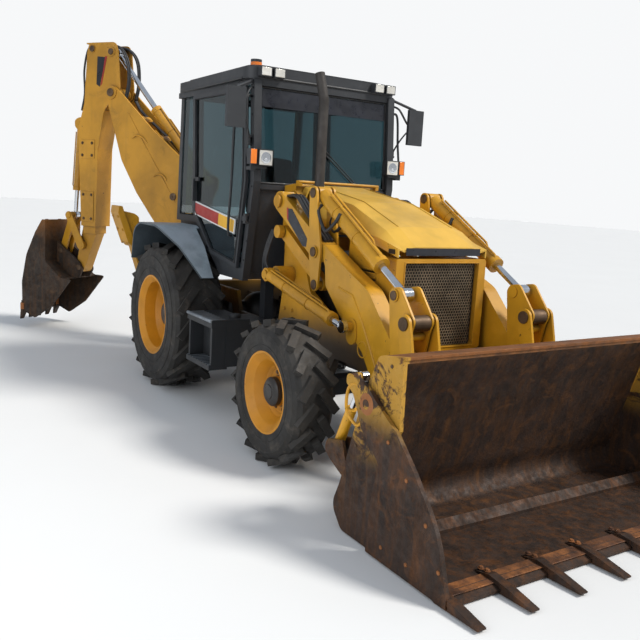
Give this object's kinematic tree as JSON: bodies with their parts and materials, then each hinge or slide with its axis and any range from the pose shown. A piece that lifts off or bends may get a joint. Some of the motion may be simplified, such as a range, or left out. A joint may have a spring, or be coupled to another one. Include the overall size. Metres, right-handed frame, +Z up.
{
  "type": "backhoe loader",
  "caption": "Wheeled backhoe loader: closed cab, front bucket with opening clam, rear digging arm swung aside, stabilisers up.",
  "frame": {"origin": "on the ground, under the centre of the whole machine's bounding box as stored", "axes": "+X forward towards the loader bucket, +Y to the machine's left, +Z up"},
  "size_m": [7.9401, 2.8278, 3.395],
  "materials": {
    "yellow_paint": "worn construction yellow",
    "dark_paint": "charcoal satin",
    "worn_steel": "rusty, worn",
    "rod_chrome": "polished",
    "tyre_rubber": "worn",
    "cab_tint": "tinted",
    "plastic_black": "matte",
    "fender_grey": "faded",
    "stack_steel": "heat stained",
    "lamp_lens": "clear"
  },
  "bodies": {
    "chassis": {"main_frame": "dark_paint", "axles": "dark_paint", "engine": "stack_steel", "body_panels": "yellow_paint", "grille": "plastic_black", "cab_frame": "dark_paint", "cab_roof": "yellow_paint", "cab_glass": "cab_tint", "cab_interior": "plastic_black", "fenders": "fender_grey", "side_tanks": "dark_paint", "lamps": "lamp_lens"},
    "knuckle_left_body": {"knuckle_left": "dark_paint"},
    "knuckle_right_body": {"knuckle_right": "dark_paint"},
    "hood_body": {"hood": "yellow_paint"},
    "door_left_body": {"door_left": "dark_paint"},
    "door_right_body": {"door_right": "dark_paint"},
    "arms": {"loader_arms": "yellow_paint"},
    "lift_barrels_body": {"lift_barrels": "yellow_paint"},
    "lift_rods_body": {"lift_rods": "rod_chrome"},
    "levelling_levers_body": {"levelling_levers": "yellow_paint"},
    "levelling_links_body": {"levelling_links": "yellow_paint"},
    "hinge_pins_body": {"hinge_pins": "worn_steel"},
    "bucket_body": {"bucket_back": "yellow_paint"},
    "clam_barrels_body": {"clam_barrels": "yellow_paint"},
    "lever_pins_body": {"lever_pins": "worn_steel"},
    "tilt_levers_body": {"tilt_levers": "yellow_paint"},
    "link_pins_body": {"link_pins": "worn_steel"},
    "tilt_links_body": {"tilt_links": "yellow_paint"},
    "tilt_barrels_body": {"tilt_barrels": "yellow_paint"},
    "tilt_rods_body": {"tilt_rods": "rod_chrome"},
    "clam_body": {"clam": "worn_steel"},
    "clam_rods_body": {"clam_rods": "rod_chrome"},
    "swing_body": {"swing_post": "dark_paint"},
    "boom_body": {"boom": "yellow_paint"},
    "boom_barrel_body": {"boom_barrel": "yellow_paint"},
    "boom_rod_body": {"boom_rod": "rod_chrome"},
    "stick_body": {"stick": "yellow_paint"},
    "stick_barrel_body": {"stick_barrel": "yellow_paint"},
    "stick_rod_body": {"stick_rod": "rod_chrome"},
    "inner_stick_body": {"inner_stick": "yellow_paint"},
    "hoe_bucket_body": {"hoe_bucket": "worn_steel"},
    "idler_body": {"idler": "yellow_paint"},
    "power_link_body": {"power_link": "worn_steel"},
    "bucket_barrel_body": {"bucket_barrel": "yellow_paint"},
    "bucket_rod_body": {"bucket_rod": "rod_chrome"},
    "front_wheel_left": {"tyre_front_left": "tyre_rubber", "rim_front_left": "yellow_paint"},
    "rear_wheel_left": {"tyre_rear_left": "tyre_rubber", "rim_rear_left": "yellow_paint"},
    "stabiliser_left_body": {"stabiliser_left": "yellow_paint"},
    "stabiliser_barrel_left_body": {"stabiliser_barrel_left": "yellow_paint"},
    "stabiliser_rod_left_body": {"stabiliser_rod_left": "rod_chrome"},
    "front_wheel_right": {"tyre_front_right": "tyre_rubber", "rim_front_right": "yellow_paint"},
    "rear_wheel_right": {"tyre_rear_right": "tyre_rubber", "rim_rear_right": "yellow_paint"},
    "stabiliser_right_body": {"stabiliser_right": "yellow_paint"},
    "stabiliser_barrel_right_body": {"stabiliser_barrel_right": "yellow_paint"},
    "stabiliser_rod_right_body": {"stabiliser_rod_right": "rod_chrome"}
  },
  "joints": [
    {"name": "steer_left", "type": "hinge", "parent": "chassis", "child": "knuckle_left_body", "pos_m": [1.775, 0.971, 0.495], "axis": [0, 0, 1], "range_deg": [-29, 29]},
    {"name": "steer_right", "type": "hinge", "parent": "chassis", "child": "knuckle_right_body", "pos_m": [1.775, -0.559, 0.495], "axis": [0, 0, 1], "range_deg": [-29.01, 29.01]},
    {"name": "front_wheel_left_spin", "type": "hinge", "parent": "knuckle_left_body", "child": "front_wheel_left", "pos_m": [1.775, 1.151, 0.495], "axis": [0, 1, 0], "continuous": true},
    {"name": "rear_wheel_left_spin", "type": "hinge", "parent": "chassis", "child": "rear_wheel_left", "pos_m": [-0.425, 1.071, 0.657], "axis": [0, 1, 0], "continuous": true},
    {"name": "front_wheel_right_spin", "type": "hinge", "parent": "knuckle_right_body", "child": "front_wheel_right", "pos_m": [1.775, -0.739, 0.495], "axis": [0, 1, 0], "continuous": true},
    {"name": "rear_wheel_right_spin", "type": "hinge", "parent": "chassis", "child": "rear_wheel_right", "pos_m": [-0.425, -0.659, 0.657], "axis": [0, 1, 0], "continuous": true},
    {"name": "hood_open", "type": "hinge", "parent": "chassis", "child": "hood_body", "pos_m": [0.895, 0.206, 1.915], "axis": [0, -1, 0], "range_deg": [0, 45]},
    {"name": "door_left_open", "type": "hinge", "parent": "chassis", "child": "door_left_body", "pos_m": [0.639, 0.918, 1.9], "axis": [0, 0, -1], "range_deg": [0, 85]},
    {"name": "door_right_open", "type": "hinge", "parent": "chassis", "child": "door_right_body", "pos_m": [0.639, -0.506, 1.9], "axis": [0, 0, 1], "range_deg": [0, 85]},
    {"name": "loader_lift", "type": "hinge", "parent": "chassis", "child": "arms", "pos_m": [0.929, 0.206, 1.757], "axis": [0, -1, 0], "range_deg": [-2, 88]},
    {"name": "lift_barrel_turn", "type": "hinge", "parent": "chassis", "child": "lift_barrels_body", "pos_m": [0.96, 0.206, 1.187], "axis": [0, -1, 0], "range_deg": [-1.82, 79.53]},
    {"name": "lift_rod_slide", "type": "slide", "parent": "lift_barrels_body", "child": "lift_rods_body", "axis": [0.9786, 0, -0.2059], "range_m": [-0.01855, 0.79462]},
    {"name": "levelling_lever_turn", "type": "hinge", "parent": "arms", "child": "levelling_levers_body", "pos_m": [1.519, 0.206, 1.418], "axis": [0, -1, 0], "range_deg": [-88.01, 2.01]},
    {"name": "levelling_link_turn", "type": "hinge", "parent": "chassis", "child": "levelling_links_body", "pos_m": [0.944, 0.206, 1.522], "axis": [0, -1, 0], "range_deg": [-2.01, 88.01]},
    {"name": "bucket_level", "type": "hinge", "parent": "arms", "child": "hinge_pins_body", "pos_m": [2.665, 0.206, 0.29], "axis": [0, -1, 0], "range_deg": [-88.01, 2.01]},
    {"name": "bucket_tilt", "type": "hinge", "parent": "hinge_pins_body", "child": "bucket_body", "pos_m": [2.665, 0.206, 0.29], "axis": [0, -1, 0], "range_deg": [-52, 24]},
    {"name": "lever_level", "type": "hinge", "parent": "arms", "child": "lever_pins_body", "pos_m": [2.534, 0.206, 0.823], "axis": [0, -1, 0], "range_deg": [-88.01, 2.01]},
    {"name": "tilt_lever_turn", "type": "hinge", "parent": "lever_pins_body", "child": "tilt_levers_body", "pos_m": [2.534, 0.206, 0.823], "axis": [0, -1, 0], "range_deg": [-52.01, 24.01]},
    {"name": "link_level", "type": "hinge", "parent": "tilt_levers_body", "child": "link_pins_body", "pos_m": [2.619, 0.206, 1.089], "axis": [0, -1, 0], "range_deg": [-2.01, 88.01]},
    {"name": "tilt_link_turn", "type": "hinge", "parent": "link_pins_body", "child": "tilt_links_body", "pos_m": [2.619, 0.206, 1.089], "axis": [0, -1, 0], "range_deg": [-24.01, 52.01]},
    {"name": "tilt_barrel_turn", "type": "hinge", "parent": "levelling_levers_body", "child": "tilt_barrels_body", "pos_m": [1.459, 0.206, 1.836], "axis": [0, -1, 0], "range_deg": [-2.01, 88.01]},
    {"name": "tilt_rod_slide", "type": "slide", "parent": "tilt_barrels_body", "child": "tilt_rods_body", "axis": [0.8627, 0, -0.5057], "range_m": [-0.1604, 0.34694]},
    {"name": "clam_open", "type": "hinge", "parent": "bucket_body", "child": "clam_body", "pos_m": [3.075, 0.206, 0.78], "axis": [0, -1, 0], "range_deg": [0, 62]},
    {"name": "clam_barrel_turn", "type": "hinge", "parent": "bucket_body", "child": "clam_barrels_body", "pos_m": [2.705, 0.206, 0.42], "axis": [0, -1, 0], "range_deg": [-8.81, 0.01]},
    {"name": "clam_rod_slide", "type": "slide", "parent": "clam_barrels_body", "child": "clam_rods_body", "axis": [0.4153, 0, 0.9097], "range_m": [-0.18569, 0.0005]},
    {"name": "stabiliser_left_down", "type": "hinge", "parent": "chassis", "child": "stabiliser_left_body", "pos_m": [-1.461, 0.831, 0.56], "axis": [-1, 0, 0], "range_deg": [0, 88]},
    {"name": "stabiliser_barrel_left_turn", "type": "hinge", "parent": "chassis", "child": "stabiliser_barrel_left_body", "pos_m": [-1.461, 0.556, 0.835], "axis": [1, 0, 0], "range_deg": [-48.32, 0.01]},
    {"name": "stabiliser_rod_left_slide", "type": "slide", "parent": "stabiliser_barrel_left_body", "child": "stabiliser_rod_left_body", "axis": [0, 0.9563, 0.2924], "range_m": [-0.0005, 0.4027]},
    {"name": "stabiliser_right_down", "type": "hinge", "parent": "chassis", "child": "stabiliser_right_body", "pos_m": [-1.461, -0.419, 0.56], "axis": [1, 0, 0], "range_deg": [0, 88]},
    {"name": "stabiliser_barrel_right_turn", "type": "hinge", "parent": "chassis", "child": "stabiliser_barrel_right_body", "pos_m": [-1.461, -0.144, 0.835], "axis": [-1, 0, 0], "range_deg": [-48.32, 0.01]},
    {"name": "stabiliser_rod_right_slide", "type": "slide", "parent": "stabiliser_barrel_right_body", "child": "stabiliser_rod_right_body", "axis": [0, -0.9563, 0.2924], "range_m": [-0.0005, 0.4027]},
    {"name": "swing", "type": "hinge", "parent": "chassis", "child": "swing_body", "pos_m": [-1.775, 0.206, 0.6], "axis": [0, 0, 1], "range_deg": [-124, 56]},
    {"name": "boom_raise", "type": "hinge", "parent": "swing_body", "child": "boom_body", "pos_m": [-1.91594, 0.11094, 0.65], "axis": [-0.5592, 0.829, 0], "range_deg": [-100, 6]},
    {"name": "boom_barrel_turn", "type": "hinge", "parent": "swing_body", "child": "boom_barrel_body", "pos_m": [-1.775, 0.206, 0.95], "axis": [-0.5592, 0.829, 0], "range_deg": [-99.97, 6.01]},
    {"name": "boom_rod_slide", "type": "slide", "parent": "boom_barrel_body", "child": "boom_rod_body", "axis": [-0.3339, -0.2252, 0.9153], "range_m": [-0.0335, 0.55056]},
    {"name": "stick_out", "type": "hinge", "parent": "boom_body", "child": "stick_body", "pos_m": [-2.77813, -0.47062, 2.832], "axis": [-0.5592, 0.829, 0], "range_deg": [-8, 105]},
    {"name": "stick_barrel_turn", "type": "hinge", "parent": "boom_body", "child": "stick_barrel_body", "pos_m": [-1.79158, 0.19482, 1.89], "axis": [-0.5592, 0.829, 0], "range_deg": [-0.57, 7.37]},
    {"name": "stick_rod_slide", "type": "slide", "parent": "stick_barrel_body", "child": "stick_rod_body", "axis": [-0.5464, -0.3686, 0.7521], "range_m": [-0.72671, 0.05583]},
    {"name": "stick_extend", "type": "slide", "parent": "stick_body", "child": "inner_stick_body", "axis": [-0.0149, -0.0101, -0.9998], "range_m": [0, 1]},
    {"name": "hoe_bucket_curl", "type": "hinge", "parent": "inner_stick_body", "child": "hoe_bucket_body", "pos_m": [-3.19017, -0.74854, 0.779], "axis": [-0.5592, 0.829, 0], "range_deg": [-150, 0]},
    {"name": "idler_turn", "type": "hinge", "parent": "inner_stick_body", "child": "idler_body", "pos_m": [-3.15452, -0.7245, 1.052], "axis": [-0.5592, 0.829, 0], "range_deg": [-125.09, 0.01]},
    {"name": "power_link_turn", "type": "hinge", "parent": "hoe_bucket_body", "child": "power_link_body", "pos_m": [-3.42727, -0.90847, 0.964], "axis": [-0.5592, 0.829, 0], "range_deg": [-0.01, 84.53]},
    {"name": "bucket_barrel_turn", "type": "hinge", "parent": "inner_stick_body", "child": "bucket_barrel_body", "pos_m": [-3.24405, -0.78489, 2.5], "axis": [-0.5592, 0.829, 0], "range_deg": [-0.01, 6.2]},
    {"name": "bucket_rod_slide", "type": "slide", "parent": "bucket_barrel_body", "child": "bucket_rod_body", "axis": [-0.0586, -0.0396, -0.9975], "range_m": [-0.0005, 0.7489]}
  ],
  "couplings": [
    {"joint": "steer_right", "follows": "steer_left", "ratio": 1},
    {"joint": "lift_barrel_turn", "follows": "loader_lift", "ratio": 0.90365},
    {"joint": "lift_rod_slide", "follows": "loader_lift", "m_per_rad": 0.51704},
    {"joint": "levelling_lever_turn", "follows": "loader_lift", "ratio": -1},
    {"joint": "levelling_link_turn", "follows": "loader_lift", "ratio": 1},
    {"joint": "bucket_level", "follows": "loader_lift", "ratio": -1},
    {"joint": "lever_level", "follows": "loader_lift", "ratio": -1},
    {"joint": "tilt_lever_turn", "follows": "bucket_tilt", "ratio": 1},
    {"joint": "link_level", "follows": "loader_lift", "ratio": 1},
    {"joint": "tilt_link_turn", "follows": "bucket_tilt", "ratio": -1},
    {"joint": "tilt_barrel_turn", "follows": "loader_lift", "ratio": 1},
    {"joint": "tilt_rod_slide", "follows": "bucket_tilt", "m_per_rad": -0.38173},
    {"joint": "clam_barrel_turn", "follows": "clam_open", "ratio": -0.14196},
    {"joint": "clam_rod_slide", "follows": "clam_open", "m_per_rad": -0.17114},
    {"joint": "stabiliser_barrel_left_turn", "follows": "stabiliser_left_down", "ratio": -0.54897},
    {"joint": "stabiliser_rod_left_slide", "follows": "stabiliser_left_down", "m_per_rad": 0.26187},
    {"joint": "stabiliser_barrel_right_turn", "follows": "stabiliser_right_down", "ratio": -0.54897},
    {"joint": "stabiliser_rod_right_slide", "follows": "stabiliser_right_down", "m_per_rad": 0.26187},
    {"joint": "boom_barrel_turn", "follows": "boom_raise", "ratio": 0.99963},
    {"joint": "boom_rod_slide", "follows": "boom_raise", "m_per_rad": -0.31516},
    {"joint": "stick_barrel_turn", "follows": "stick_out", "ratio": 0.07005},
    {"joint": "stick_rod_slide", "follows": "stick_out", "m_per_rad": -0.39627},
    {"joint": "idler_turn", "follows": "hoe_bucket_curl", "ratio": 0.83385},
    {"joint": "power_link_turn", "follows": "hoe_bucket_curl", "ratio": -0.5635},
    {"joint": "bucket_barrel_turn", "follows": "hoe_bucket_curl", "ratio": -0.0413},
    {"joint": "bucket_rod_slide", "follows": "hoe_bucket_curl", "m_per_rad": -0.28587}
  ]
}
